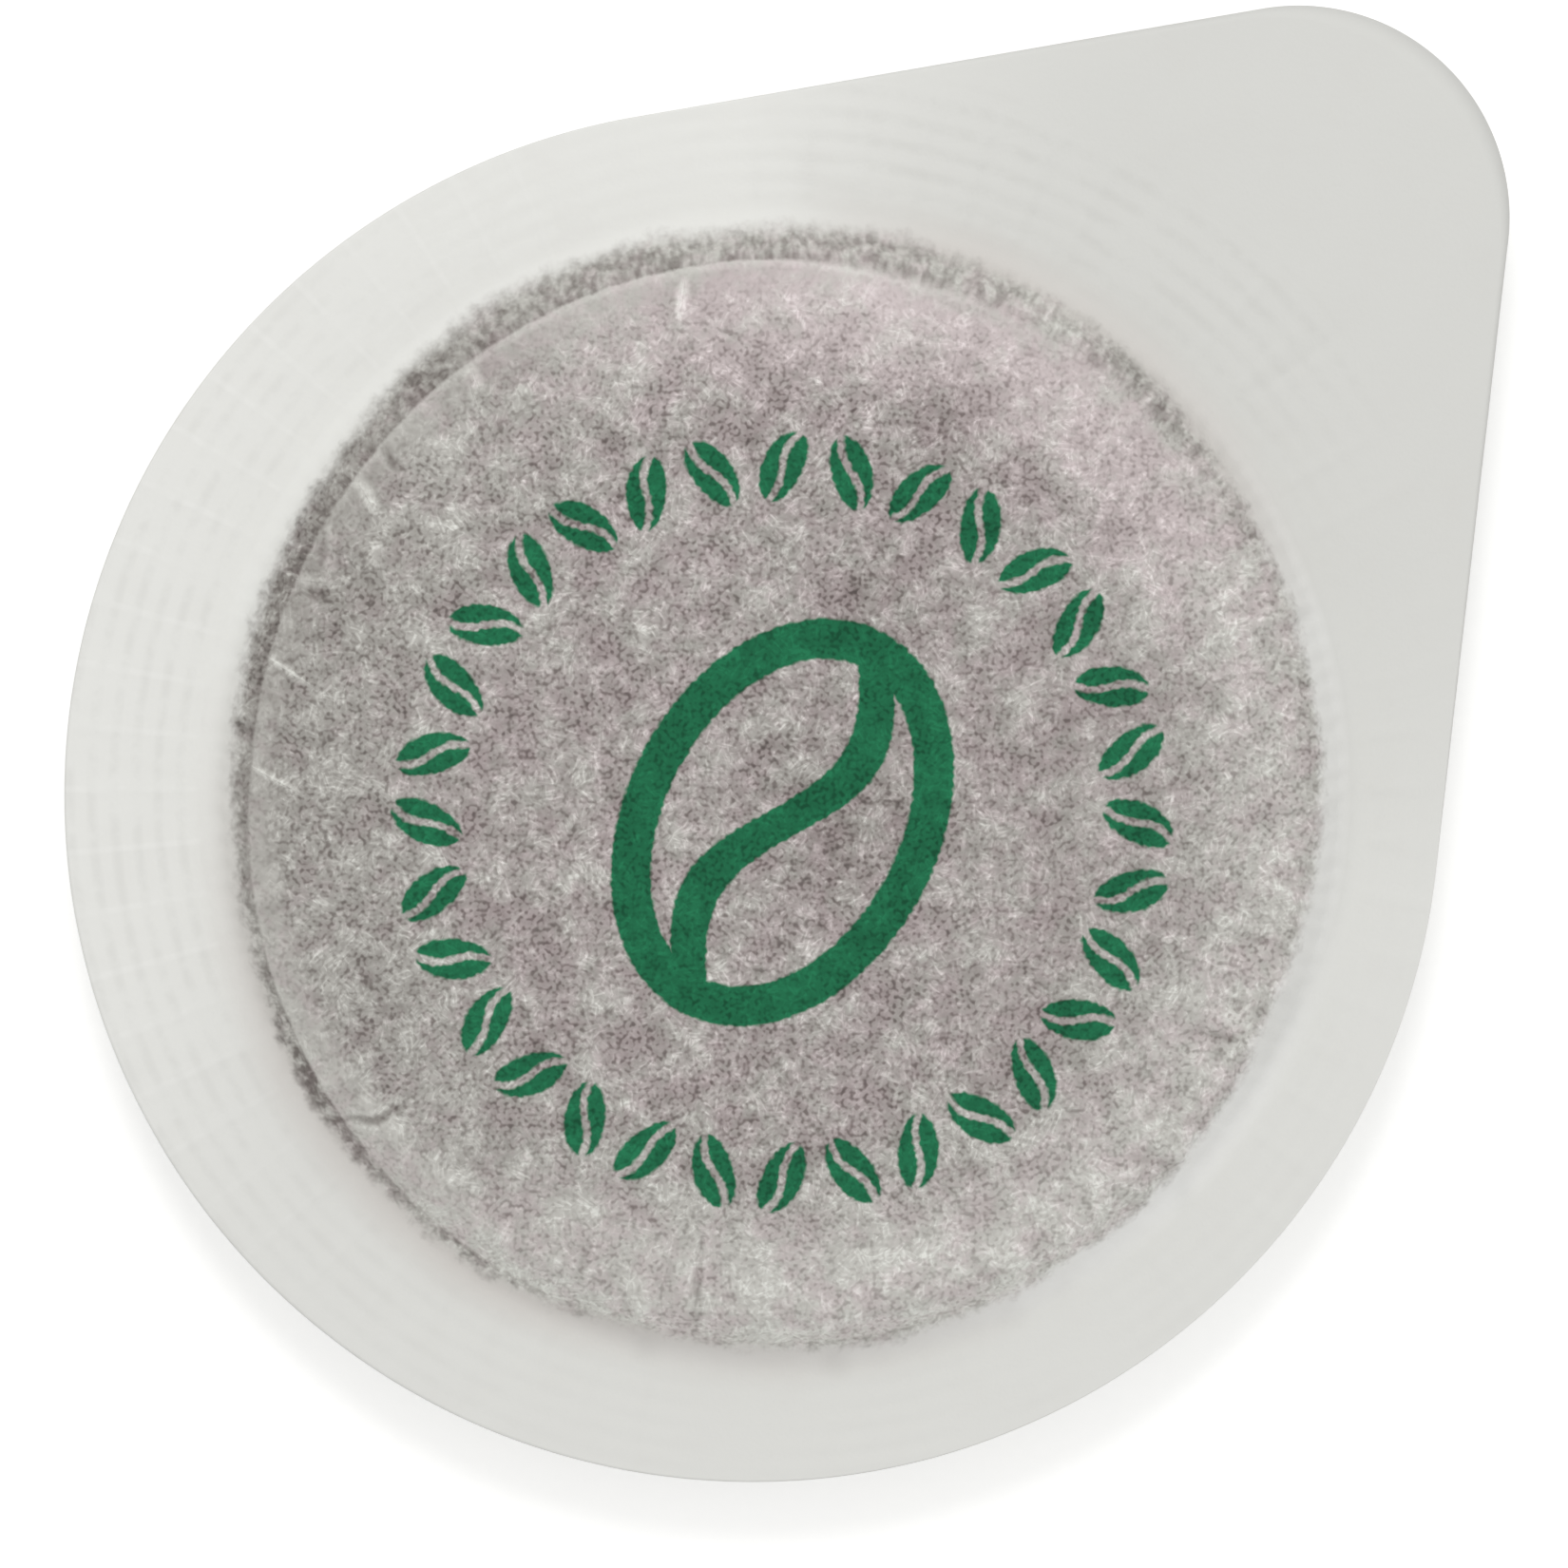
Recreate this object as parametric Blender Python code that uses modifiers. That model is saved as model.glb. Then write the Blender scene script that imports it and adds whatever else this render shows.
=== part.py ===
# Espresso pod: a pressed tablet of ground coffee, heat sealed between two sheets of filter paper.
# Both sheets are cut to one outline, a round flange that runs out into a pull tab, and each is
# drawn over its side of the tablet as a shallow cup whose spare paper gathers in radial pleats.
# Units are metres. The origin is on the tablet's axis, on the surface that the pod rests on.
# +Z points up through the printed side, and +X points out along the tab.

import math

import bmesh
import bpy
from mathutils import Vector
from mathutils.geometry import intersect_line_line

MM = 0.001

# The paper, and how it fits
PAPER_THICKNESS = 0.12 * MM
SEAL_GAP = 0.02 * MM                # between the sheets where they are sealed
TABLET_CLEARANCE = 0.1 * MM         # between the tablet and the paper round it

# The half sections of the two cups, measured on the inside of the paper
FOOT_RADIUS = 22.5 * MM             # where the wall leaves the flange
WALL_DRAFT = math.radians(25)
FOOT_FILLET = 0.6 * MM
EDGE_FILLET = 1.1 * MM
FACE_FILLET = 8.0 * MM              # from the sloping shoulder into the flat face
FACE_LANDING = 1.0 * MM             # flat paper between that fillet and the last ring of the mesh
UPPER_DEPTH = 4.3 * MM              # from the seal to the flat face
UPPER_CROWN = 1.2 * MM              # the shoulder's rise from the edge to the face
UPPER_SHOULDER = 4.5 * MM           # the shoulder's width from the edge to the face
LOWER_DEPTH = 5.0 * MM
LOWER_CROWN = 1.0 * MM
LOWER_SHOULDER = 3.6 * MM

# The outline that both sheets are cut to: two circles and the two lines that touch both
FLANGE_WIDTH = 5.0 * MM             # from the foot of the cups to the round edge
TAB_LENGTH = 12.69 * MM             # how far the tab stands out beyond the round edge
TAB_RADIUS = 8.45 * MM
CUT_SHIFT_X = -0.97 * MM            # the cut sits a little off the tablet's axis
CUT_SHIFT_Y = 0.59 * MM

# The pleats that take up the spare paper over the edge of the tablet
PLEAT_COUNT = 28
PLEAT_HALF_WIDTH = 0.55 * MM
PLEAT_HEIGHT = 0.32 * MM
PLEAT_VARIATION = 0.45              # share of the height that changes from pleat to pleat
PLEAT_WANDER = 0.3                  # share of the spacing that a pleat strays by

# The tablet's straight flank between its two draughted walls
TABLET_LAND = 0.8 * MM

# How finely the curves are cut
FILLET_STEPS = 2
ARC_SHARE = 0.45                    # the most of a straight run that the arc at its end may take
LONGEST_RUN = 1.8 * MM              # the walls and shoulders are cut at least this finely
TABLET_STEPS = 48
WELD_DISTANCE = 0.001 * MM

# What follows from the sizes above
FLANGE_RADIUS = FOOT_RADIUS + FLANGE_WIDTH
TAB_DISTANCE = FLANGE_RADIUS + TAB_LENGTH - TAB_RADIUS      # between the outline's two centres
SEAM_HEIGHT = PAPER_THICKNESS + LOWER_DEPTH + SEAL_GAP / 2  # the middle of the seal
GOLDEN_ANGLE = math.pi * (3 - math.sqrt(5))


# Materials

def make_material(name, colour, roughness):
    material = bpy.data.materials.new(name)
    material.use_nodes = True
    shader = material.node_tree.nodes["Principled BSDF"]
    shader.inputs["Base Color"].default_value = (*colour, 1.0)
    shader.inputs["Roughness"].default_value = roughness
    shader.inputs["Metallic"].default_value = 0.0
    return material


# The half section: x is the radius, and z the height above the middle of the seal

def round_corner(before, corner, after, radius):
    """The arc that rounds a corner, held back where a straight run is short."""
    to_before = before - corner
    to_after = after - corner
    half_angle = to_before.angle(to_after) / 2
    shorter_run = min(to_before.length, to_after.length)
    radius = min(radius, ARC_SHARE * shorter_run * math.tan(half_angle))
    tangent_length = radius / math.tan(half_angle)
    bisector = (to_before.normalized() + to_after.normalized()).normalized()
    centre = corner + bisector * radius / math.sin(half_angle)
    first = (corner + to_before.normalized() * tangent_length - centre).normalized()
    last = (corner + to_after.normalized() * tangent_length - centre).normalized()
    return [centre + first.slerp(last, step / FILLET_STEPS) * radius for step in range(FILLET_STEPS + 1)]


def rounded(path, radii):
    """The path with its inner corners rounded, each by its own radius."""
    points = [path[0]]
    for index, radius in enumerate(radii, start=1):
        points += round_corner(path[index - 1], path[index], path[index + 1], radius)
    points.append(path[-1])
    return points


def inset(path, distance):
    """The path moved by the distance towards the inside of the cup, with its corners kept sharp."""
    runs = []
    for start, end in zip(path, path[1:]):
        along = (end - start).normalized()
        inward = Vector((-along.z, 0, along.x)) * distance
        runs.append((start + inward, end + inward))
    corners = [intersect_line_line(*one, *other)[0] for one, other in zip(runs, runs[1:])]
    return [runs[0][0], *corners, runs[-1][1]]


def subdivided(points, longest):
    """The points with each stretch between them cut into equal runs no longer than the longest."""
    result = [points[0]]
    for start, end in zip(points, points[1:]):
        runs = math.ceil((end - start).length / longest)
        result += [start.lerp(end, run / runs) for run in range(1, runs + 1)]
    return result


def cup_corners(depth, crown, shoulder):
    """The foot of the wall, the edge, the rim of the face and the centre of the face."""
    seal = SEAL_GAP / 2
    edge_height = depth - crown
    edge_radius = FOOT_RADIUS - edge_height * math.tan(WALL_DRAFT)
    return [
        Vector((FOOT_RADIUS, 0, seal)),
        Vector((edge_radius, 0, seal + edge_height)),
        Vector((edge_radius - shoulder, 0, seal + depth)),
        Vector((0, 0, seal + depth)),
    ]


def paper_section(depth, crown, shoulder):
    """The inside of the paper, from the toe of its foot fillet to a ring within the flat face."""
    corners = cup_corners(depth, crown, shoulder)
    flange_edge = corners[0] + Vector((FLANGE_WIDTH, 0, 0))
    smooth = rounded([flange_edge, *corners], [FOOT_FILLET, EDGE_FILLET, FACE_FILLET])
    face_ring = smooth[-2] - Vector((FACE_LANDING, 0, 0))
    return subdivided([*smooth[1:-1], face_ring], LONGEST_RUN)


def tablet_section(depth, crown, shoulder):
    """One side of the tablet, from the middle of its face out to its land."""
    corners = inset(cup_corners(depth, crown, shoulder), TABLET_CLEARANCE)
    wall_foot, edge = corners[0], corners[1]
    land_share = (TABLET_LAND / 2 - wall_foot.z) / (edge.z - wall_foot.z)
    corners[0] = wall_foot.lerp(edge, land_share)
    radii = [EDGE_FILLET - TABLET_CLEARANCE, FACE_FILLET - TABLET_CLEARANCE]
    return rounded(corners, radii)[::-1]


# The cut outline

def outline_point(share):
    """A point of the outline, at a share of the way round from the tab's tip.

    The spacing is a mean of even steps along the outline and even turns, so that the small
    arc of the tab is as round as the flange.
    """
    touch_angle = math.acos((FLANGE_RADIUS - TAB_RADIUS) / TAB_DISTANCE)
    line_length = math.sqrt(TAB_DISTANCE**2 - (FLANGE_RADIUS - TAB_RADIUS) ** 2)
    lengths = [TAB_RADIUS * touch_angle, line_length, FLANGE_RADIUS * (math.pi - touch_angle)]
    turns = [touch_angle, 0, math.pi - touch_angle]
    tab_share, line_share, flange_share = [
        (length / sum(lengths) + turn / math.pi) / 2 for length, turn in zip(lengths, turns)
    ]

    # Half of the outline is worked out, and the other half mirrors it
    side = 1 if share <= 0.5 else -1
    along = 2 * min(share, 1 - share)
    touching = Vector((math.cos(touch_angle), math.sin(touch_angle), 0))
    tab_centre = Vector((TAB_DISTANCE, 0, 0))
    if along < tab_share:
        angle = touch_angle * along / tab_share
        point = tab_centre + TAB_RADIUS * Vector((math.cos(angle), math.sin(angle), 0))
    elif along < tab_share + line_share:
        line_start = tab_centre + TAB_RADIUS * touching
        point = line_start.lerp(FLANGE_RADIUS * touching, (along - tab_share) / line_share)
    else:
        turned = (math.pi - touch_angle) * (along - tab_share - line_share) / flange_share
        angle = touch_angle + turned
        point = FLANGE_RADIUS * Vector((math.cos(angle), math.sin(angle), 0))
    return Vector((point.x + CUT_SHIFT_X, side * point.y + CUT_SHIFT_Y, SEAL_GAP / 2))


# The sheets of paper

def pleat_columns():
    """The angle of each column of the sheet, and how far the paper stands off along it.

    Each pleat has a column at each side, one on its ridge, and one in the flat paper beyond it.
    """
    spacing = math.tau / PLEAT_COUNT
    half_width = PLEAT_HALF_WIDTH / FOOT_RADIUS
    ridges = []
    for pleat in range(PLEAT_COUNT + 1):
        wander = PLEAT_WANDER * math.sin(pleat % PLEAT_COUNT * GOLDEN_ANGLE)
        ridges.append(spacing * (pleat + wander))
    columns = []
    for pleat, (ridge, next_ridge) in enumerate(zip(ridges, ridges[1:])):
        strength = 1 - PLEAT_VARIATION + PLEAT_VARIATION * math.cos(pleat * GOLDEN_ANGLE)
        columns += [
            (ridge - half_width, 0),
            (ridge, PLEAT_HEIGHT * strength),
            (ridge + half_width, 0),
            ((ridge + next_ridge) / 2, 0),
        ]
    return columns


def sheet_rings(depth, crown, shoulder):
    """The rings of one sheet's inside, from the cut outline in to the flat face."""
    columns = pleat_columns()
    first_share = -1 / len(columns)  # so that the first pleat's ridge meets the tab's tip
    rings = [[outline_point((first_share + index / len(columns)) % 1) for index in range(len(columns))]]
    section = paper_section(depth, crown, shoulder)
    for index, point in enumerate(section):
        before = section[max(index - 1, 0)]
        after = section[min(index + 1, len(section) - 1)]
        along = (after - before).normalized()
        outward = Vector((along.z, 0, -along.x))
        # The pleats start at the foot, stand highest at the edge and run out where the face begins
        height_share = (point.z - SEAL_GAP / 2) / depth
        rise = math.sin(math.pi * height_share**2)
        ring = []
        for angle, height in columns:
            place = point + outward * height * rise
            ring.append(Vector((place.x * math.cos(angle), place.x * math.sin(angle), place.z)))
        rings.append(ring)
    return rings


def make_sheet(name, side, rings, material, collection):
    """A sheet lofted through its rings, above the seam or below it, with its thickness outside."""
    bm = bmesh.new()
    loops = [[bm.verts.new((place.x, place.y, side * place.z)) for place in ring] for ring in rings]
    for outer, inner in zip(loops, loops[1:]):
        for index in range(len(outer)):
            following = (index + 1) % len(outer)
            bm.faces.new((outer[index], outer[following], inner[following], inner[index]))
    bm.faces.new(loops[-1])
    if side < 0:
        bmesh.ops.reverse_faces(bm, faces=bm.faces)
    mesh = bpy.data.meshes.new(name)
    bm.to_mesh(mesh)
    bm.free()
    mesh.shade_smooth()

    sheet = bpy.data.objects.new(name, mesh)
    sheet.location.z = SEAM_HEIGHT
    solidify = sheet.modifiers.new("Paper thickness", "SOLIDIFY")
    solidify.thickness = PAPER_THICKNESS
    solidify.offset = 1
    solidify.use_even_offset = True
    mesh.materials.append(material)
    collection.objects.link(sheet)


# The coffee

def make_tablet(material, collection):
    """The pressed tablet, turned from its half section, which runs from the top face down."""
    upper = tablet_section(UPPER_DEPTH, UPPER_CROWN, UPPER_SHOULDER)
    lower = tablet_section(LOWER_DEPTH, LOWER_CROWN, LOWER_SHOULDER)
    profile = upper + [Vector((point.x, 0, -point.z)) for point in reversed(lower)]
    edges = [(index, index + 1) for index in range(len(profile) - 1)]
    mesh = bpy.data.meshes.new("coffee_tablet")
    mesh.from_pydata(profile, edges, [])

    tablet = bpy.data.objects.new("coffee_tablet", mesh)
    tablet.location.z = SEAM_HEIGHT
    screw = tablet.modifiers.new("Turned", "SCREW")
    screw.axis = "Z"
    screw.angle = math.tau
    screw.steps = TABLET_STEPS
    screw.render_steps = TABLET_STEPS
    screw.use_merge_vertices = True
    screw.merge_threshold = WELD_DISTANCE
    screw.use_smooth_shade = True
    mesh.materials.append(material)
    collection.objects.link(tablet)


# The pod

def main():
    for existing in list(bpy.data.objects):
        bpy.data.objects.remove(existing, do_unlink=True)
    collection = bpy.data.collections.new("espresso_pod")
    bpy.context.scene.collection.children.link(collection)

    printed_paper = make_material("printed_filter_paper", (0.69, 0.69, 0.66), 0.85)
    plain_paper = make_material("plain_filter_paper", (0.70, 0.70, 0.67), 0.85)
    coffee = make_material("pressed_coffee", (0.055, 0.028, 0.015), 0.95)

    upper_rings = sheet_rings(UPPER_DEPTH, UPPER_CROWN, UPPER_SHOULDER)
    lower_rings = sheet_rings(LOWER_DEPTH, LOWER_CROWN, LOWER_SHOULDER)
    make_tablet(coffee, collection)
    make_sheet("upper_paper", 1, upper_rings, printed_paper, collection)
    make_sheet("lower_paper", -1, lower_rings, plain_paper, collection)


main()
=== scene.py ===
import math
from functools import partial

import bmesh
import bpy
import numpy as np
from mathutils import Matrix, Vector


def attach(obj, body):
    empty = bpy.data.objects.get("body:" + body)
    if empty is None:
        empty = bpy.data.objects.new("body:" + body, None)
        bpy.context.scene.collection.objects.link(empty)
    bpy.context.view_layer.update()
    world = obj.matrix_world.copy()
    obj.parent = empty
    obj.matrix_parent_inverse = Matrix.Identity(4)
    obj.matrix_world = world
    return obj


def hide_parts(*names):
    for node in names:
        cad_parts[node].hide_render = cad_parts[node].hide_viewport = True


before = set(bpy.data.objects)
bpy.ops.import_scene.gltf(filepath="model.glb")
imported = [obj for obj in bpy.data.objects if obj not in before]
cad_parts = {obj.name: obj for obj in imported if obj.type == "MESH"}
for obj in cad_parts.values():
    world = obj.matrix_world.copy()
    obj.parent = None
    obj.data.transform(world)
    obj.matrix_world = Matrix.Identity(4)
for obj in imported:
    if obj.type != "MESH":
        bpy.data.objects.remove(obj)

# An espresso pod: coffee pressed into a tablet, sealed between two sheets of filter paper.
# Sizes in the dictionaries are millimetres and degrees, unless a note says otherwise.

mm = 0.001
golden = math.pi * (3 - math.sqrt(5))
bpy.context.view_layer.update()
scene = bpy.context.scene

# The pod's own axes, as the camera sees them: the tab points up and to the right
tabBearing = 46.7


def linear(code):
    # sRGB hex to linear colour
    parts = [int(code[start:start + 2], 16) / 255 for start in (1, 3, 5)]
    return [part / 12.92 if part <= 0.04045 else ((part + 0.055) / 1.055) ** 2.4 for part in parts] + [1]


# Kinds of node and settings that are used often
vector = "ShaderNodeVectorMath"
remap = "ShaderNodeMapRange"
noise = "ShaderNodeTexNoise"
mix = "ShaderNodeMix"
smooth = {"interpolation_type": "SMOOTHSTEP"}
length = {"output": "Value", "operation": "LENGTH"}
dot = {"output": "Value", "operation": "DOT_PRODUCT"}
inColour = {"output": 2, "data_type": "RGBA"}


def wire(tree, kind, inputs=(), output=0, **settings):
    # Adds a node with its settings and links, and gives back one of its outputs. The inputs
    # come in order, or by name or number. A kind in capitals is an operation of the Math node,
    # and one that takes two values is repeated where there are more
    if kind in ("ADD", "SUBTRACT", "MULTIPLY") and len(inputs) > 2:
        inputs = (wire(tree, kind, inputs[:-1]), inputs[-1])
    if kind.isupper():
        kind, settings = "ShaderNodeMath", {"operation": kind, **settings}
    node = tree.nodes.new(kind)
    for name, value in settings.items():
        setattr(node, name, value)
    for key, value in inputs.items() if isinstance(inputs, dict) else enumerate(inputs):
        if isinstance(value, bpy.types.NodeSocket):
            tree.links.new(value, node.inputs[key])
        else:
            node.inputs[key].default_value = value
    return node.outputs[output]


def startMaterial(name):
    # A material, its tree, and what adds nodes there
    material = bpy.data.materials.new(name)
    material.use_nodes = True
    return material, material.node_tree, partial(wire, material.node_tree)


def fillRamp(ramp, colours):
    # The first and last stops are there already, and the others go in between
    for place, colour in colours:
        stop = ramp.elements[0 if place == 0 else -1] if place in (0, 1) else ramp.elements.new(place)
        stop.color = colour


def compass(degrees):
    # The unit vector of a bearing in the picture
    return math.cos(math.radians(degrees)), math.sin(math.radians(degrees)), 0


def placed(name, data):
    # A new object in the scene
    made = bpy.data.objects.new(name, data)
    scene.collection.objects.link(made)
    return made


# The two cups and the cut outline, the same sizes as the solids
sheetShape = {
    "thickness": 0.12,
    "sealGap": 0.02,
    "footRadius": 22.5,
    "wallDraft": 25,
    "footFillet": 1.3,
    "edgeFillet": 1.1,
    "faceFillet": 8.0,
    "flangeWidth": 5.0,
    "tabLength": 12.69,
    "tabRadius": 8.45,
    "cutShift": (-0.97, 0.59),
    "columns": 640,
}
upperCup = {"depth": 4.3, "crown": 1.2, "shoulder": 4.5}
lowerCup = {"depth": 5.0, "crown": 1.0, "shoulder": 3.6}

# How finely the skin that shows and the skin inside are cut
outerCut = {"flangeRings": 40, "cupStep": 0.175, "faceStep": 0.5}
innerCut = {"flangeRings": 6, "cupStep": 1.0, "faceStep": 3.0}

seamHeight = sheetShape["thickness"] + lowerCup["depth"] + sheetShape["sealGap"] / 2


def spokesAt(angles):
    # Unit vectors at these angles
    return np.stack((np.cos(angles), np.sin(angles)), axis=-1)


def cutOutline(shape):
    # The outline's points, from the tab's tip anticlockwise, closer together where it turns
    flangeRadius = shape["footRadius"] + shape["flangeWidth"]
    tabDistance = flangeRadius + shape["tabLength"] - shape["tabRadius"]
    touch = math.acos((flangeRadius - shape["tabRadius"]) / tabDistance)
    straight = math.sqrt(tabDistance ** 2 - (flangeRadius - shape["tabRadius"]) ** 2)
    runs = [shape["tabRadius"] * touch, straight, flangeRadius * (math.pi - touch)]
    turns = [touch, 0, math.pi - touch]
    shares = [(run / sum(runs) + turn / math.pi) / 2 for run, turn in zip(runs, turns)]
    tabMiddle = np.array((tabDistance, 0))
    onTab, onRound = tabMiddle + shape["tabRadius"] * spokesAt(touch), flangeRadius * spokesAt(touch)
    points = []
    for column in range(shape["columns"]):
        share = column / shape["columns"]
        side = 1 if share <= 0.5 else -1
        along = 2 * min(share, 1 - share)
        if along < shares[0]:
            spot = tabMiddle + shape["tabRadius"] * spokesAt(touch * along / shares[0])
        elif along < shares[0] + shares[1]:
            spot = onTab + (onRound - onTab) * (along - shares[0]) / shares[1]
        else:
            angle = touch + (math.pi - touch) * (along - shares[0] - shares[1]) / shares[2]
            spot = flangeRadius * spokesAt(angle)
        points.append((spot[0] + shape["cutShift"][0], side * spot[1] + shape["cutShift"][1]))
    return np.array(points)


def roundedCorner(before, corner, after, radius, steps=10):
    toBefore = before - corner
    toAfter = after - corner
    halfAngle = toBefore.angle(toAfter) / 2
    radius = min(radius, 0.45 * min(toBefore.length, toAfter.length) * math.tan(halfAngle))
    tangent = radius / math.tan(halfAngle)
    bisector = (toBefore.normalized() + toAfter.normalized()).normalized()
    centre = corner + bisector * radius / math.sin(halfAngle)
    first = (corner + toBefore.normalized() * tangent - centre).normalized()
    last = (corner + toAfter.normalized() * tangent - centre).normalized()
    return [centre + first.slerp(last, step / steps) * radius for step in range(steps + 1)]


def cupSection(shape, cup, step):
    # The inside of the paper from the toe of its foot to the flat face: radius, height, and
    # the direction out of the cup, at even steps
    seal = shape["sealGap"] / 2
    edgeHeight = cup["depth"] - cup["crown"]
    edgeRadius = shape["footRadius"] - edgeHeight * math.tan(math.radians(shape["wallDraft"]))
    corners = [
        Vector((shape["footRadius"] + shape["flangeWidth"], 0, seal)),
        Vector((shape["footRadius"], 0, seal)),
        Vector((edgeRadius, 0, seal + edgeHeight)),
        Vector((edgeRadius - cup["shoulder"], 0, seal + cup["depth"])),
        Vector((0, 0, seal + cup["depth"])),
    ]
    path = []
    for index, name in enumerate(("footFillet", "edgeFillet", "faceFillet"), start=1):
        path += roundedCorner(corners[index - 1], corners[index], corners[index + 1], shape[name])
    path = np.array([(point.x, point.z) for point in path])
    travelled = np.concatenate(([0], np.cumsum(np.hypot(*np.diff(path, axis=0).T))))
    even = np.linspace(0, travelled[-1], math.ceil(travelled[-1] / step) + 1)
    radii = np.interp(even, travelled, path[:, 0])
    heights = np.interp(even, travelled, path[:, 1])
    slopes = np.gradient(np.stack((radii, heights), axis=1), axis=0)
    slopes /= np.hypot(slopes[:, 0], slopes[:, 1])[:, None]
    return radii, heights, np.stack((slopes[:, 1], -slopes[:, 0]), axis=1)


def skinRings(shape, cup, cut, offset):
    # One skin of a sheet as rings from the cut outline in to the middle of the face. Each ring
    # is its points, and the direction out of the cup at each
    count = shape["columns"]
    spokes = spokesAt(np.arange(count) * math.tau / count)
    radii, heights, normals = cupSection(shape, cup, cut["cupStep"])
    outline = cutOutline(shape)
    toe = spokes * radii[0]
    reach = np.hypot(*(outline - toe).T)
    even = 5.0  # the rings are evenly spaced over this distance, and then spread over the tab
    upward = np.tile((0.0, 0.0, 1.0), (count, 1))
    rings = []
    for ring in range(cut["flangeRings"]):
        share = 1 - ring / cut["flangeRings"]
        blend = ((even * share + (reach - even) * share ** 3) / reach)[:, None]
        flat = toe + (outline - toe) * blend
        rings.append((np.column_stack((flat, np.full(count, heights[0] + offset))), upward))
    for radius, height, normal in zip(radii, heights, normals):
        flat = spokes * (radius + normal[0] * offset)
        outward = np.column_stack((spokes * normal[0], np.full(count, normal[1])))
        rings.append((np.column_stack((flat, np.full(count, height + normal[1] * offset))), outward))
    face = np.linspace(radii[-1], 0, math.ceil(radii[-1] / cut["faceStep"]) + 1)[1:-1]
    for radius in face:
        # Towards the middle the columns are halved each time they come closer than they need to be
        if radius < 11.0 * count / shape["columns"] and count > 28:
            count //= 2
        spokes = spokesAt(np.arange(count) * math.tau / count)
        points = np.column_stack((spokes * radius, np.full(count, heights[-1] + offset)))
        rings.append((points, np.tile((0.0, 0.0, 1.0), (count, 1))))
    return rings


def sheetMesh(name, side, shape, cup):
    # Both skins of a sheet, joined along the cut edge into one closed shell
    positions = []
    outwards = []
    shares = []
    skins = []
    faces = []
    loops = []
    for skin, cut in ((1, outerCut), (0, innerCut)):
        rings = skinRings(shape, cup, cut, skin * shape["thickness"])
        starts = []
        for points, outward in rings:
            starts.append((len(positions), len(points)))
            positions += [(x, y, side * z + seamHeight) for x, y, z in points]
            outwards += [(x, y, side * z) for x, y, z in outward]
            lowest = shape["sealGap"] / 2 + skin * shape["thickness"]
            shares += [min(max((z - lowest) / cup["depth"], 0), 1) for z in points[:, 2]]
            skins += [float(skin)] * len(points)
        for (outer, many), (inner, few) in zip(starts, starts[1:]):
            for column in range(few):
                after = (column + 1) % few
                if many == few:
                    faces.append((outer + column, outer + after, inner + after, inner + column))
                else:
                    middle = outer + 2 * column + 1
                    following = outer + (2 * column + 2) % many
                    faces.append((outer + 2 * column, middle, inner + column))
                    faces.append((middle, following, inner + after, inner + column))
        last, count = starts[-1]
        positions.append((0, 0, side * (rings[-1][0][0][2]) + seamHeight))
        outwards.append((0, 0, side))
        shares.append(1.0)
        skins.append(float(skin))
        centre = len(positions) - 1
        faces += [(last + column, last + (column + 1) % count, centre) for column in range(count)]
        loops.append(starts[0])
    (outer, count), (inner, count) = loops
    for column in range(count):
        after = (column + 1) % count
        faces.append((outer + column, outer + after, inner + after, inner + column))
    mesh = bpy.data.meshes.new(name)
    mesh.from_pydata([Vector(place) * mm for place in positions], [], faces)
    shell = bmesh.new()
    shell.from_mesh(mesh)
    bmesh.ops.recalc_face_normals(shell, faces=shell.faces)
    shell.to_mesh(mesh)
    shell.free()
    mesh.shade_smooth()
    for label, kind, values in (
        ("outward", "FLOAT_VECTOR", outwards),
        ("heightShare", "FLOAT", shares),
        ("outerSkin", "FLOAT", skins),
    ):
        layer = mesh.attributes.new(label, kind, "POINT")
        field = "vector" if kind == "FLOAT_VECTOR" else "value"
        layer.data.foreach_set(field, np.array(values, dtype=np.float32).ravel())
    return placed(name, mesh)


# What forming the paper leaves in it: pleats over the tablet's edge, the ribs of the sealing
# die, and the slack of damp paper that has dried
relief = {
    "Pleat Count": 28,
    "Pleat Half Width": 0.7,
    "Pleat Height": 0.32,
    "Pleat Variation": 0.45,      # share of the height
    "Pleat Wander": 0.3,          # share of the spacing
    "Roll Share": 0.6,            # how thick a fold's crest is, as a share of its height
    "Crimp Count": 150,
    "Crimp Height": 0.06,
    "Rib Spacing": 0.88,
    "Rib Depth": 0.028,
    "Rib Band Start": 23.3,
    "Rib Band End": 28.9,
    "Notch Spacing": 2.1,
    "Notch Depth": 0.05,
    "Slack Height": 0.10,
    "Slack Size": 7.0,
    "Grit Height": 0.045,
    "Grit Size": 1.3,
    "Seed": 11,
}
lengthInputs = relief.keys() - {
    "Pleat Count", "Pleat Variation", "Pleat Wander", "Roll Share", "Crimp Count", "Seed",
}

# The same in both papers: where the pleats' lines run, how finely a crease is traced, where the
# flange's slack starts and is full, and how the crimps and the pressure of the die change
reliefPlan = {
    "spokeStart": 12,
    "spokeLength": 28,
    "creaseStep": 0.08,
    "slackStart": 23.1,
    "slackFull": 31,
    "slackGrowth": 4,             # times the slack height
    "crimpChange": 420,           # cells of noise to the metre
    "crimpSway": 9,               # radians
    "pressureChange": 160,        # cells of noise to the metre
}

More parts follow.
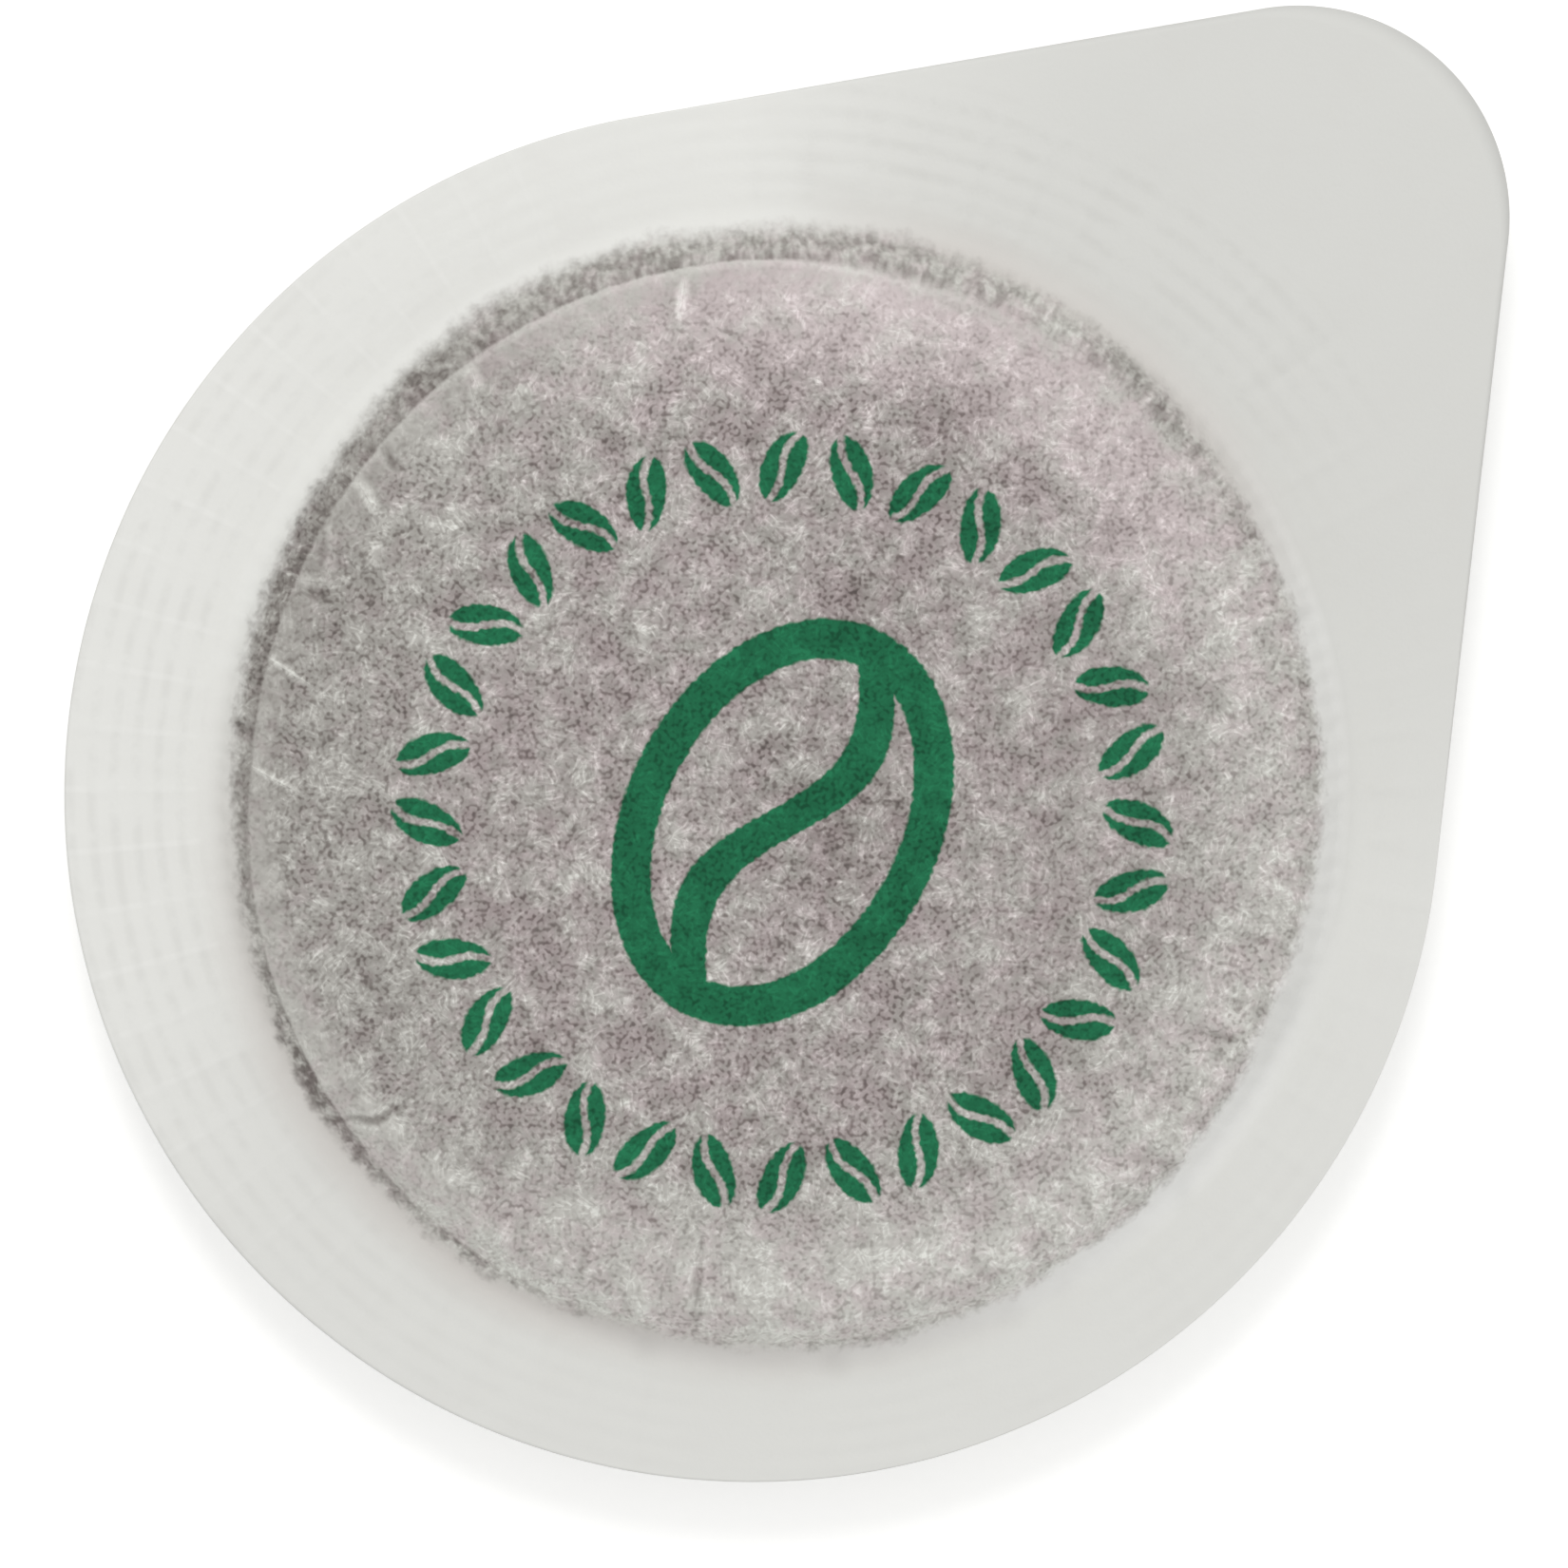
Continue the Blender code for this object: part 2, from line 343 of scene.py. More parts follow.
# Creases of the printed side's shoulder, pinched up or, where the height is negative, pressed in.
# Each is its height, half its width, the levels it is lighter or darker by, and points of a
# bearing in the picture and a distance from the tablet's axis. The levels are painted light and
# shade: a pinched crease is lighter, partly paper held off the coffee and partly painted
# highlight, and a pressed one darker with painted fold shadow
creaseLines = [
    (0.070, 0.40, 14, (79.2, 20.7), (80.2, 19.9), (81.3, 18.9)),
    (0.150, 0.36, 38, (100.6, 20.8), (101.2, 20.2), (101.8, 19.6), (102.8, 18.9)),
    (0.120, 0.46, 38, (126.2, 20.9), (126.7, 20.3), (127.4, 19.6)),
    (0.100, 0.32, 22, (127.4, 20.3), (128.2, 19.5), (128.8, 18.9)),
    (0.115, 0.44, 38, (143.7, 21.0), (144.3, 20.3), (145.6, 19.4)),
    (0.085, 0.32, 30, (149.3, 20.7), (150.6, 20.3), (153.4, 19.95), (155.5, 19.8)),
    (0.080, 0.32, 30, (156.7, 21.2), (155.9, 20.4), (154.9, 19.4)),
    (0.145, 0.20, 56, (165.3, 21.1), (166.0, 20.3), (167.5, 18.9)),
    (0.110, 0.21, 44, (176.9, 21.3), (178.0, 20.5), (180.4, 18.9)),
    (0.080, 0.34, 20, (238.3, 21.5), (238.0, 20.7), (237.6, 19.9)),
    (0.060, 0.34, 18, (312.9, 20.9), (311.8, 20.3), (311.0, 19.6)),
    (0.080, 0.50, 26, (333.9, 21.1), (333.1, 20.1), (332.7, 19.1)),
    (0.060, 0.36, 20, (349.2, 21.0), (349.0, 19.8), (348.6, 18.5)),
    (0.060, 0.36, 20, (24.5, 20.5), (23.6, 19.3), (23.2, 18.2)),
    (-0.055, 0.24, -40, (139.0, 21.0), (139.4, 20.5), (139.9, 20.1), (139.7, 19.5)),
    (-0.045, 0.30, -26, (158.0, 20.9), (157.2, 20.1), (156.2, 19.2)),
    (-0.090, 0.25, -44, (216.6, 22.4), (217.3, 21.5), (218.9, 20.85), (219.5, 20.2), (219.6, 18.9)),
    (-0.045, 0.30, -14, (247.3, 21.4), (247.1, 20.2), (247.0, 19.0)),
    (-0.070, 0.26, -32, (261.2, 22.3), (260.7, 20.8), (260.2, 19.6), (259.6, 17.6)),
    (-0.040, 0.30, -14, (294.0, 22.0), (293.2, 21.0), (291.8, 20.3)),
    (-0.050, 0.34, -12, (316.6, 22.0), (315.1, 20.9), (313.0, 19.6)),
    (-0.070, 0.26, -27, (331.7, 21.3), (331.1, 20.3), (329.4, 18.6)),
    (-0.050, 0.30, -20, (336.0, 21.2), (335.2, 20.0), (334.5, 19.0)),
    (-0.050, 0.30, -20, (343.2, 21.2), (342.8, 20.0), (342.3, 18.3)),
    (-0.055, 0.40, 0, (40.4, 23.8), (39.4, 26.0), (39.1, 29.2)),
]


def lineMesh(name, lines):
    # Runs of edges in the plan, with the height, half width and levels of each kept on its points
    points = []
    edges = []
    kept = {"height": [], "half": [], "levels": []}
    for height, half, levels, *turns in lines:
        for index, (bearing, reach) in enumerate(turns):
            angle = math.radians(bearing - tabBearing)
            points.append(Vector((math.cos(angle), math.sin(angle), 0)) * reach * mm)
            for label, value in (("height", height * mm), ("half", half * mm), ("levels", levels)):
                kept[label].append(value)
            if index:
                edges.append((len(points) - 2, len(points) - 1))
    mesh = bpy.data.meshes.new(name)
    mesh.from_pydata(points, edges, [])
    for label, values in kept.items():
        layer = mesh.attributes.new(label, "FLOAT", "POINT")
        layer.data.foreach_set("value", values)
    return placed(name, mesh)


def reliefTree():
    tree = bpy.data.node_groups.new("paperRelief", "GeometryNodeTree")
    kinds = {"Geometry": "Geometry", "Paper": "Material", "Creases": "Object"}
    kinds.update({name: "Int" if isinstance(value, int) else "Float" for name, value in relief.items()})
    for name, kind in kinds.items():
        tree.interface.new_socket(name, in_out="INPUT", socket_type="NodeSocket" + kind)
    tree.interface.new_socket("Geometry", in_out="OUTPUT", socket_type="NodeSocketGeometry")
    put = partial(wire, tree)
    given = tree.nodes.new("NodeGroupInput").outputs
    stored = {name: put("GeometryNodeInputNamedAttribute", {"Name": name})
              for name in ("strength", "heightShare", "outerSkin", "height", "half", "levels", "taper")}
    share = stored["heightShare"]
    seed = given["Seed"]

    # One spoke for each pleat, strayed from its even place, with a strength of its own
    count = given["Pleat Count"]
    hub = put("GeometryNodeMeshLine", {"Count": count, "Offset": (0, 0, 0)})
    number = put("GeometryNodeInputIndex")
    spun = put("MULTIPLY", (number, golden))
    stray = put("MULTIPLY_ADD", (put("SINE", (spun,)), given["Pleat Wander"], number))
    bearing = put("MULTIPLY", (stray, put("DIVIDE", (math.tau, count))))
    change = put("SUBTRACT", (put("COSINE", (spun,)), 1.0))
    strength = put("MULTIPLY_ADD", (change, given["Pleat Variation"], 1.0))
    hub = put("GeometryNodeStoreNamedAttribute", {"Geometry": hub, "Name": "strength", "Value": strength})
    spoke = {"Count": 2, "Start Location": (reliefPlan["spokeStart"] * mm, 0, 0),
             "Offset": (reliefPlan["spokeLength"] * mm, 0, 0)}
    spoke = put("GeometryNodeMeshLine", spoke)
    turned = put("ShaderNodeCombineXYZ", {"Z": bearing})
    spokes = put("GeometryNodeInstanceOnPoints", {"Points": hub, "Instance": spoke, "Rotation": turned})
    spokes = put("GeometryNodeRealizeInstances", (spokes,))

    # How near each point of the paper is to a spoke, seen from above
    place = put("GeometryNodeInputPosition")
    plan = put(vector, (place, (1, 1, 0)), operation="MULTIPLY")
    away = put("GeometryNodeProximity", {"Geometry": spokes, "Sample Position": plan}, output="Distance",
               target_element="EDGES")
    nearest = put("GeometryNodeSampleNearest", {"Geometry": spokes, "Sample Position": plan}, domain="EDGE")
    own = {"Geometry": spokes, "Value": stored["strength"], "Index": nearest}
    own = put("GeometryNodeSampleIndex", own, domain="EDGE")
    fold = put(remap, (away, 0.0, given["Pleat Half Width"], 1.0, 0.0), **smooth)

    # A pleat starts at the foot, stands highest at the edge and runs out where the face begins
    rise = put("SINE", (put("MULTIPLY", (share, share, math.pi)),))
    lift = put("MULTIPLY", (fold, rise, own))
    pleat = put("MULTIPLY", (lift, given["Pleat Height"]))

    # A crease has its own height and width, dies out at both ends, and is lighter or darker, with
    # the reverse beside it: painted highlight and painted fold shadow along the fold
    lines = put("GeometryNodeObjectInfo", {"Object": given["Creases"]}, output="Geometry")
    lines = put("GeometryNodeMeshToCurve", {"Mesh": lines})
    lines = put("GeometryNodeResampleCurve", {"Curve": lines, "Length": reliefPlan["creaseStep"] * mm},
                mode="LENGTH")
    along = put("GeometryNodeSplineParameter", output="Factor")
    taper = put("SINE", (put("MULTIPLY", (along, math.pi)),))
    taper = put("POWER", (put("MAXIMUM", (taper, 0.0)), 0.7))
    lines = put("GeometryNodeStoreNamedAttribute", {"Geometry": lines, "Name": "taper", "Value": taper})
    lines = put("GeometryNodeCurveToMesh", {"Curve": lines})
    beside = put("GeometryNodeProximity", {"Geometry": lines, "Sample Position": plan}, output="Distance",
                 target_element="EDGES")
    chosen = put("GeometryNodeSampleNearest", {"Geometry": lines, "Sample Position": plan})
    ownHeight, ownHalf, ownLevels, ownTaper = (
        put("GeometryNodeSampleIndex", {"Geometry": lines, "Value": stored[name], "Index": chosen})
        for name in ("height", "half", "levels", "taper"))
    narrowed = put("MULTIPLY_ADD", (ownTaper, 0.6, 0.4))
    ownHalf = put("MULTIPLY", (ownHalf, narrowed))
    ownHalf = put("MAXIMUM", (ownHalf, 0.00001))
    ownHeight = put("MULTIPLY", (ownHeight, ownTaper))
    ownLevels = put("MULTIPLY", (ownLevels, ownTaper))
    sharp = put(remap, (beside, 0.0, ownHalf, 1.0, 0.0), **smooth)
    ridge = put("MULTIPLY", (sharp, ownHeight))
    crest = put("MULTIPLY", (ownHalf, 0.3))
    crest = put(remap, (beside, crest, ownHalf, 1.0, -0.25), **smooth)
    beyond = put("MULTIPLY", (ownHalf, 2.2))
    beyond = put(remap, (beside, ownHalf, beyond, 1.0, 0.0), **smooth)
    creaseLightAndShade = put("MULTIPLY", (crest, beyond, ownLevels))
    raised = put("ADD", (pleat, ridge))

    # Fine crimps down the wall, uneven in their spacing and height
    axes = put("ShaderNodeSeparateXYZ", (plan,)).node.outputs
    around = put("ARCTAN2", (axes["Y"], axes["X"]))
    waver = put(noise, {"Vector": plan, "Scale": reliefPlan["crimpChange"], "Detail": 1.0})
    twist = put("MULTIPLY", (waver, reliefPlan["crimpSway"]))
    crimp = put("MULTIPLY_ADD", (around, given["Crimp Count"], twist))
    crimp = put("SINE", (crimp,))
    crimp = put("MULTIPLY_ADD", (crimp, 0.5, 0.5))
    low = put(remap, (share, 0.0, 0.12))
    high = put(remap, (share, 0.5, 0.78, 1.0, 0.0))
    crimp = put("MULTIPLY", (crimp, low, high, given["Crimp Height"]))
    raised = put("ADD", (raised, crimp))

    # The sealing die: rings round the tablet, cut across by short notches
    radius = put(vector, (plan,), **length)
    wave = put("DIVIDE", (radius, given["Rib Spacing"]))
    wave = put("COSINE", (put("MULTIPLY", (wave, math.tau)),))
    rib = put("MULTIPLY_ADD", (wave, -0.5, 0.5))
    notches = put("DIVIDE", (given["Rib Band Start"], given["Notch Spacing"]))
    notches = put("ROUND", (put("MULTIPLY", (notches, math.tau)),))
    notch = put("ADD", (around, math.radians(tabBearing)))
    notch = put("COSINE", (put("MULTIPLY", (notch, notches)),))
    notch = put(remap, (notch, 0.78, 1.0, 0.0, -1.0))
    ribs = put("MULTIPLY", (rib, given["Rib Depth"]))
    ribs = put("MULTIPLY_ADD", (notch, given["Notch Depth"], ribs))
    full = put("ADD", (given["Rib Band Start"], 0.0005))
    bandIn = put(remap, (radius, given["Rib Band Start"], full), **smooth)
    fading = put("ADD", (given["Rib Band End"], -0.001))
    bandOut = put(remap, (radius, fading, given["Rib Band End"], 1.0, 0.0), **smooth)
    # Its pressure changes round the seal
    uneven = {"Vector": plan, "W": seed, "Scale": reliefPlan["pressureChange"], "Detail": 1.0}
    uneven = put(noise, uneven, noise_dimensions="4D")
    uneven = put(remap, (uneven, 0.35, 0.62))
    ribs = put("MULTIPLY", (ribs, bandIn, bandOut, uneven))

    # Grit pushes the paper about where it lies on the coffee
    scale = put("DIVIDE", (1.0, given["Grit Size"]))
    grit = put(noise, {"Vector": place, "W": seed, "Scale": scale, "Detail": 1.5}, noise_dimensions="4D")
    above = put(remap, (share, 0.0, 0.15))
    grit = put("MULTIPLY", (grit, given["Grit Height"], above))

    # Ribs and grit press the outer skin in, and pleats lift both skins
    inward = put("ADD", (ribs, grit))
    inward = put("MULTIPLY", (inward, stored["outerSkin"]))
    out = put("SUBTRACT", (raised, inward))
    direction = put("GeometryNodeInputNamedAttribute", {"Name": "outward"}, data_type="FLOAT_VECTOR")
    move = put(vector, {0: direction, "Scale": out}, operation="SCALE")

    # Both sheets share the flange's slack, which grows from the foot out to the tab's tip
    scale = put("DIVIDE", (1.0, given["Slack Size"]))
    slack = put(noise, {"Vector": plan, "W": seed, "Scale": scale, "Detail": 1.0}, noise_dimensions="4D")
    slack = put("SUBTRACT", (slack, 0.5))
    start, full = reliefPlan["slackStart"] * mm, reliefPlan["slackFull"] * mm
    free = put(remap, (radius, start, full, 0.0, reliefPlan["slackGrowth"]), **smooth)
    slack = put("MULTIPLY", (slack, free, given["Slack Height"]))
    sag = put("ShaderNodeCombineXYZ", {"Z": slack})
    move = put(vector, (move, sag), operation="ADD")

    sheet = given["Geometry"]
    for name, value in (("lift", lift), ("crease", creaseLightAndShade)):
        sheet = put("GeometryNodeStoreNamedAttribute", {"Geometry": sheet, "Name": name, "Value": value})
    sheet = put("GeometryNodeSetPosition", {"Geometry": sheet, "Offset": move})

    # The crest of a pinched fold is a thin roll of paper along its line
    pinched = put("FunctionNodeCompare", {"A": stored["height"], "B": 0.0}, operation="GREATER_THAN")
    rolls = put("GeometryNodeMeshToCurve", {"Mesh": lines, "Selection": pinched})
    start = put(vector, (place, (0, 0, 0.02)), operation="ADD")
    down = {"Target Geometry": sheet, "Source Position": start, "Ray Direction": (0, 0, -1),
            "Ray Length": 1.0}
    laid = put("GeometryNodeRaycast", down, output="Hit Position")
    thick = put("MULTIPLY", (stored["taper"], stored["height"], given["Roll Share"]))
    sunk = put("MULTIPLY", (thick, -0.6))
    sunk = put("ShaderNodeCombineXYZ", {"Z": sunk})
    laid = put(vector, (laid, sunk), operation="ADD")
    rolls = put("GeometryNodeSetPosition", {"Geometry": rolls, "Position": laid})
    hoop = put("GeometryNodeCurvePrimitiveCircle", {"Resolution": 8, "Radius": 1.0})
    rolls = put("GeometryNodeCurveToMesh",
                {"Curve": rolls, "Profile Curve": hoop, "Scale": thick, "Fill Caps": True})
    # The roll carries its crease's levels, lighter with painted highlight
    own = put("MULTIPLY", (stored["levels"], stored["taper"]))
    rolls = put("GeometryNodeStoreNamedAttribute", {"Geometry": rolls, "Name": "crease", "Value": own})
    both = put("GeometryNodeJoinGeometry", (rolls,))
    tree.links.new(sheet, both.node.inputs[0])
    sheet = put("GeometryNodeRealizeInstances", (both,))
    sheet = put("GeometryNodeSetMaterial", {"Geometry": sheet, "Material": given["Paper"]})
    tree.links.new(sheet, tree.nodes.new("NodeGroupOutput").inputs["Geometry"])
    return tree


def applied(piece, tree, values):
    # Runs a tree on a piece and keeps the result as a plain mesh
    modifier = piece.modifiers.new(tree.name, "NODES")
    modifier.node_group = tree
    for item in tree.interface.items_tree:
        if item.in_out != "INPUT" or item.name == "Geometry":
            continue
        value = values[item.name]
        modifier[item.identifier] = value * mm if item.name in lengthInputs else value
    piece.update_tag()
    evaluated = piece.evaluated_get(bpy.context.evaluated_depsgraph_get())
    mesh = bpy.data.meshes.new_from_object(evaluated)
    piece.modifiers.clear()
    piece.data = mesh
    mesh.shade_smooth()
    return piece


# Filter paper of wood pulp and manila fibre, wet laid and heat sealed: matt, faintly furry, with
# short pale fibres, and thin enough for dark grounds to show through as soft specks
filterPaper = {
    # The flange's first colour is its side in painted light, and the next its side in painted shade
    "flange": "#e1e1dd",
    "flangeShadedSide": "#dadad6",
    "flangeTabShade": "#d2d2ce",       # painted shade towards the tab
    "flangeShade": "#cbc6c1",     # beside the coffee
    "flangePressedAndShaded": "#b9b9b4",   # in the rings of the die, pressed thinner, with painted shade of their ribs
    "flangePaintedLightAndTicks": "#fbfbf9",       # painted light at the foot of the wall, and the pale ticks of the die's notches
    "grounds": ("#524b48", "#7b7471", "#a29d9a", "#c7c3c0", "#eae8e5"),
    "pinkish": "#fff6f9",
    "greyish": "#fafdf9",
    "roughness": 0.88,
    "tone": 0.516,                # of the coffee's middle, on the ramp from dark to light
    "grainSize": 0.60,            # the coffee is a fine grind, of 0.2 to 0.5 mm
    "grainCurl": 0.15,
    "grainStrength": 0.55,
    "fleckSize": 0.18,
    "fleckStrength": 0.28,
    "mottleSize": 1.7,
    "mottleStrength": 0.37,
    "tintSize": 5 / 3,
    "fibrePatches": (0.62, 0.43),
    "fibreLength": 0.70,
    "fibreWidth": 0.125,          # drawn as coarse as they need to be to show: really 0.02
    "fibreGlow": (0.03, 0.15),
}

# The tablet is not quite round, and the paper does not leave it at the same height all round.
# By bearing in the picture: as far out as coffee shows through, where the line of grounds
# caught along the wall starts, and how many levels darker that line is. That line is grounds
# with painted shade in it, deepest from the top round to the lower left, faint at the bottom and right
wallTurns = [
    (0, 21.36, 21.00, 10), (20, 21.36, 20.95, 20), (38, 21.52, 20.88, 30), (50, 21.84, 20.89, 32),
    (62, 21.97, 20.90, 21), (75, 22.14, 20.82, 40), (90, 22.06, 20.97, 38), (105, 22.12, 20.99, 38),
    (120, 22.20, 20.97, 38), (135, 21.96, 20.93, 39), (150, 21.70, 20.90, 40), (167, 21.70, 20.91, 38),
    (180, 21.64, 21.03, 33), (195, 21.81, 21.35, 34), (210, 22.22, 21.62, 46), (225, 22.38, 21.88, 24),
    (240, 22.60, 22.08, 28), (255, 22.08, 22.00, 0), (270, 22.26, 22.02, 10), (285, 22.24, 21.98, 18),
    (300, 21.90, 21.85, 0), (315, 21.72, 21.20, 10), (330, 21.26, 21.20, 1), (345, 21.26, 21.10, 2),
]
wallFrom, wallSpan = 20, 4        # the radii that one ramp holds as 0 to 1

# With that edge, or that start, moved to 20: where the coffee starts to fade, the painted shade
# beside it, the line of grounds, and the pale line of painted highlight inside that one, from
# where each starts to its end
onWall = {"fade": 19.75, "shade": (20.0, 22.3), "grounds": (19.98, 20.14), "pale": (19.62, 19.92)}

# Levels of 255 in one step of the ramp from dark to light, for the sizes below
rampLevels = 155

# How light the shoulder is by its bearing, in levels: the same all round, where the paper leaves
# the coffee, and painted light on top of that, more towards the picture's right and top, and
# more along its vertical
shoulderLiftAndPaintedLight = {"all": 9.0, "right": 14.0, "up": -3.0, "upright": 20.0}

# What changes round the pod: the bearing it is about, the cosines of how far off that bearing
# it starts and is full, and its values there
byBearing = {
    "softEdge": (105, 0.3, 0.95, 20.50, 20.80),
    "vagueBand": (45, 0.70, 0.95, 0.0, 0.55),
    "dottedBand": (238, 0.5, 0.9, 0.0, 1.0),
    "smooth": (115, -0.1, 0.85, 0.0, 0.50),
    "smoothLeft": (203, 0.75, 0.97, 0.0, 0.45),
    "smoothBand": (95, 0.3, 0.9, 0.05, 0.4),
    "smoothRight": (5, 0.45, 0.95, 0.0, 0.17),
    "caught": (85, 0.0, 0.9, 0.06, 0.15),
    "highlightLine": (100, 0.45, 0.9, 0.0, 13 / rampLevels),
    "lightLeft": (205, 0.6, 0.95, 0.0, 14 / rampLevels),
    "greyLeft": (165, 0.3, 0.9, 0.0, 1.0),
    "rosy": (72, 0.45, 0.9, 0.0, 1.0),
    "tab": (42, 0.62, 0.94, 0.0, 1.0),
    "litBelow": (-68, 0.55, 0.92, 0.0, 0.75),
    "litRight": (-10, 0.3, 0.85, 0.0, 0.42),
    "shadeBelow": (232, 0.35, 0.92, 0.05, 0.78),
    "shadeTab": (53, 0.80, 0.96, 0.0, 0.72),
    "rings": (178, 0.2, 0.95, 0.0, 0.12),
    "ringsTab": (60, 0.86, 0.95, 0.0, 0.12),
    "ticks": (165, 0.3, 0.9, 0.0, 0.09),
}

# What changes with the distance from the tablet's axis: where it starts, and where it is full
byRadius = {
    "shoulder": (14.5, 19.6, "SMOOTHSTEP"),
    "rim": (20.9, 21.5, "SMOOTHSTEP"),
    "smooth": (19.0, 20.6, "SMOOTHSTEP"),
    "smoothLeft": (19.9, 20.7, "LINEAR"),
    "smoothRight": (7.0, 12.0, "LINEAR"),
    "smoothUpright": (15.5, 18.5, "LINEAR"),
    "lightLeft": (19.9, 20.8, "SMOOTHSTEP"),
    "grey": (12.5, 16.5, "LINEAR"),
    "greyLeft": (12.5, 18.0, "LINEAR"),
    "rosy": (13.5, 17.0, "LINEAR"),
    "rosyEnd": (21.6, 19.6, "LINEAR"),
    "litBelow": (23.6, 22.2, "SMOOTHSTEP"),
    "litRight": (22.85, 22.3, "LINEAR"),
    "die": (23.0, 23.5, "LINEAR"),
    "dieEnd": (29.2, 28.4, "LINEAR"),
}

# Where the paper lies closer on the coffee, or stands off it: right, up, radius, and levels,
# as seen with the tab up and to the right
softPatches = [
    (6.3, 15.0, 3.4, -14),
    (3.5, 20.3, 4.5, 9),
    (14.0, 8.0, 5.0, 7),
    (-16.0, -8.9, 3.5, -9),
    (-11.7, -14.1, 3.2, -9),
    (-18.6, 8.0, 4.5, -9),
    (-10.8, 16.0, 3.2, -8),
    (-3.3, 10.0, 4.0, 6),
    (2.2, -0.6, 7.0, -15),
    (3.6, 6.8, 4.0, -12),
]

# The print, in one green, set a little off the tablet's middle
printed = {
    "ink": "#227650",
    "inkDark": "#0f4a30",
    "middle": (0.0, -1.22),
    "beans": 32,
    "beanRing": 14.05,
    "beanHalfWidth": 0.80,
    "beanHalfLength": 1.50,
    "beanTilt": 26,
    "beanSlit": 0.14,
    "beanSwing": 0.16,
    "bigHalfWidth": 5.4,
    "bigHalfLength": 7.7,
    "bigTilt": -28,
    "bigSwing": 1.6,
    "stroke": 0.80,
    "softness": 0.07,             # the ink creeps along the fibres, and dulls them
}


def paperMaterial(name, withPrint, seed):
    material, tree, put = startMaterial(name)
    shader = tree.nodes["Principled BSDF"]
    shader.inputs["Roughness"].default_value = filterPaper["roughness"]

    # Millimetres, with the picture's right and up as the first two axes
    place = put("ShaderNodeTexCoord", output="Object")
    turned = (0, 0, math.radians(tabBearing))
    place = put("ShaderNodeMapping", {"Vector": place, "Rotation": turned, "Scale": (1000, 1000, 1000)})
    plan = put(vector, (place, (1, 1, 0)), operation="MULTIPLY")
    bearing = put(vector, (plan,), operation="NORMALIZE")
    radius = put(vector, (plan,), **length)
    grounds = put(vector, (place, (1, 1, 0.3), (seed * 11, seed * 7, seed * 3)), operation="MULTIPLY_ADD")

    # The shares by bearing and by radius, and both together for what has the two
    share = {}
    for label, (degrees, *span) in byBearing.items():
        facing = put(vector, (bearing, compass(degrees)), **dot)
        share[label] = put(remap, (facing, *span))
    for label, (start, full, kind) in byRadius.items():
        within = put(remap, (radius, start, full), interpolation_type=kind)
        if label in share:
            within = put("MULTIPLY", (share[label], within))
        share[label] = within

    # Mottle from 2 mm down, and the grain of grounds under the paper, drawn out along its fibres
    mottle = {"Vector": grounds, "Scale": 1 / filterPaper["mottleSize"], "Detail": 2.0, "Roughness": 0.62}
    grain = {"Vector": grounds, "Scale": 1 / filterPaper["grainSize"], "Detail": 2.0, "Roughness": 0.75,
             "Distortion": filterPaper["grainCurl"]}
    mottle, grain = (put("SUBTRACT", (put(noise, field), 0.5)) for field in (mottle, grain))

    # Dark flecks, where a coarser ground lies against the paper
    flecks = put(noise, {"Vector": grounds, "Scale": 1 / filterPaper["fleckSize"], "Detail": 0.0})
    flecks = put(remap, (flecks, 0.48, 0.76, 0.0, -filterPaper["fleckStrength"]))
    many = put(remap, (mottle, -0.15, 0.15, 1.2, 0.55))
    texture = put("MULTIPLY", (flecks, many))
    for part, strength in ((grain, "grainStrength"), (mottle, "mottleStrength")):
        texture = put("MULTIPLY_ADD", (part, filterPaper[strength], texture))

    # Pale fibres: short straight streaks, which lie another way in each patch of the felt
    glow = put("MULTIPLY_ADD", (grain, 0.8, mottle))
    glow = put(remap, (glow, -0.12, 0.16, *filterPaper["fibreGlow"]))
    for patch in filterPaper["fibrePatches"]:
        lay = put("ShaderNodeTexVoronoi", {"Vector": grounds, "Scale": 1 / patch}, output="Color",
                  voronoi_dimensions="2D")
        lay = put("ShaderNodeSeparateColor", (lay,))
        lay = put("MULTIPLY", (lay, math.tau))
        lay = put("ShaderNodeVectorRotate", {"Vector": grounds, "Angle": lay}, rotation_type="Z_AXIS")
        drawn = (1 / filterPaper["fibreWidth"], 1 / filterPaper["fibreLength"], 1)
        lay = put(vector, (lay, drawn), operation="MULTIPLY")
        fibre = put(noise, {"Vector": lay, "Scale": 1.0, "Detail": 0.0})
        fibre = put(remap, (fibre, 0.54, 0.70))
        fibre = put("MULTIPLY", (fibre, glow))
        texture = put("ADD", (texture, fibre))

    # The turn of the wall at this bearing, read off a ramp that runs once round the pod
    axes = put("ShaderNodeSeparateXYZ", (plan,)).node.outputs
    around = put("ARCTAN2", (axes["Y"], axes["X"]))
    around = put("FRACT", (put("MULTIPLY_ADD", (around, 1 / math.tau, 1.0)),))
    turn = put("ShaderNodeValToRGB", (around,))
    turn.node.color_ramp.interpolation = "CARDINAL"
    fillRamp(turn.node.color_ramp, [
        (degrees / 360, ((edge - wallFrom) / wallSpan, (start - wallFrom) / wallSpan, levels / 100, 1))
        for degrees, edge, start, levels in (*wallTurns, (360, *wallTurns[0][1:]))
    ])
    turn = put("ShaderNodeSeparateColor", (turn,)).node.outputs
    edge, inner = (put("MULTIPLY_ADD", (part, -wallSpan, radius)) for part in turn[:2])

    # Where the coffee ends, with a soft ragged edge of grains, softest at the top left
    ragged = put("MULTIPLY_ADD", (grain, 0.75, edge))
    ragged = put("MULTIPLY_ADD", (mottle, 0.7, ragged))
    shows = put(remap, (ragged, onWall["fade"], share["softEdge"], 1.0, 0.0), **smooth)

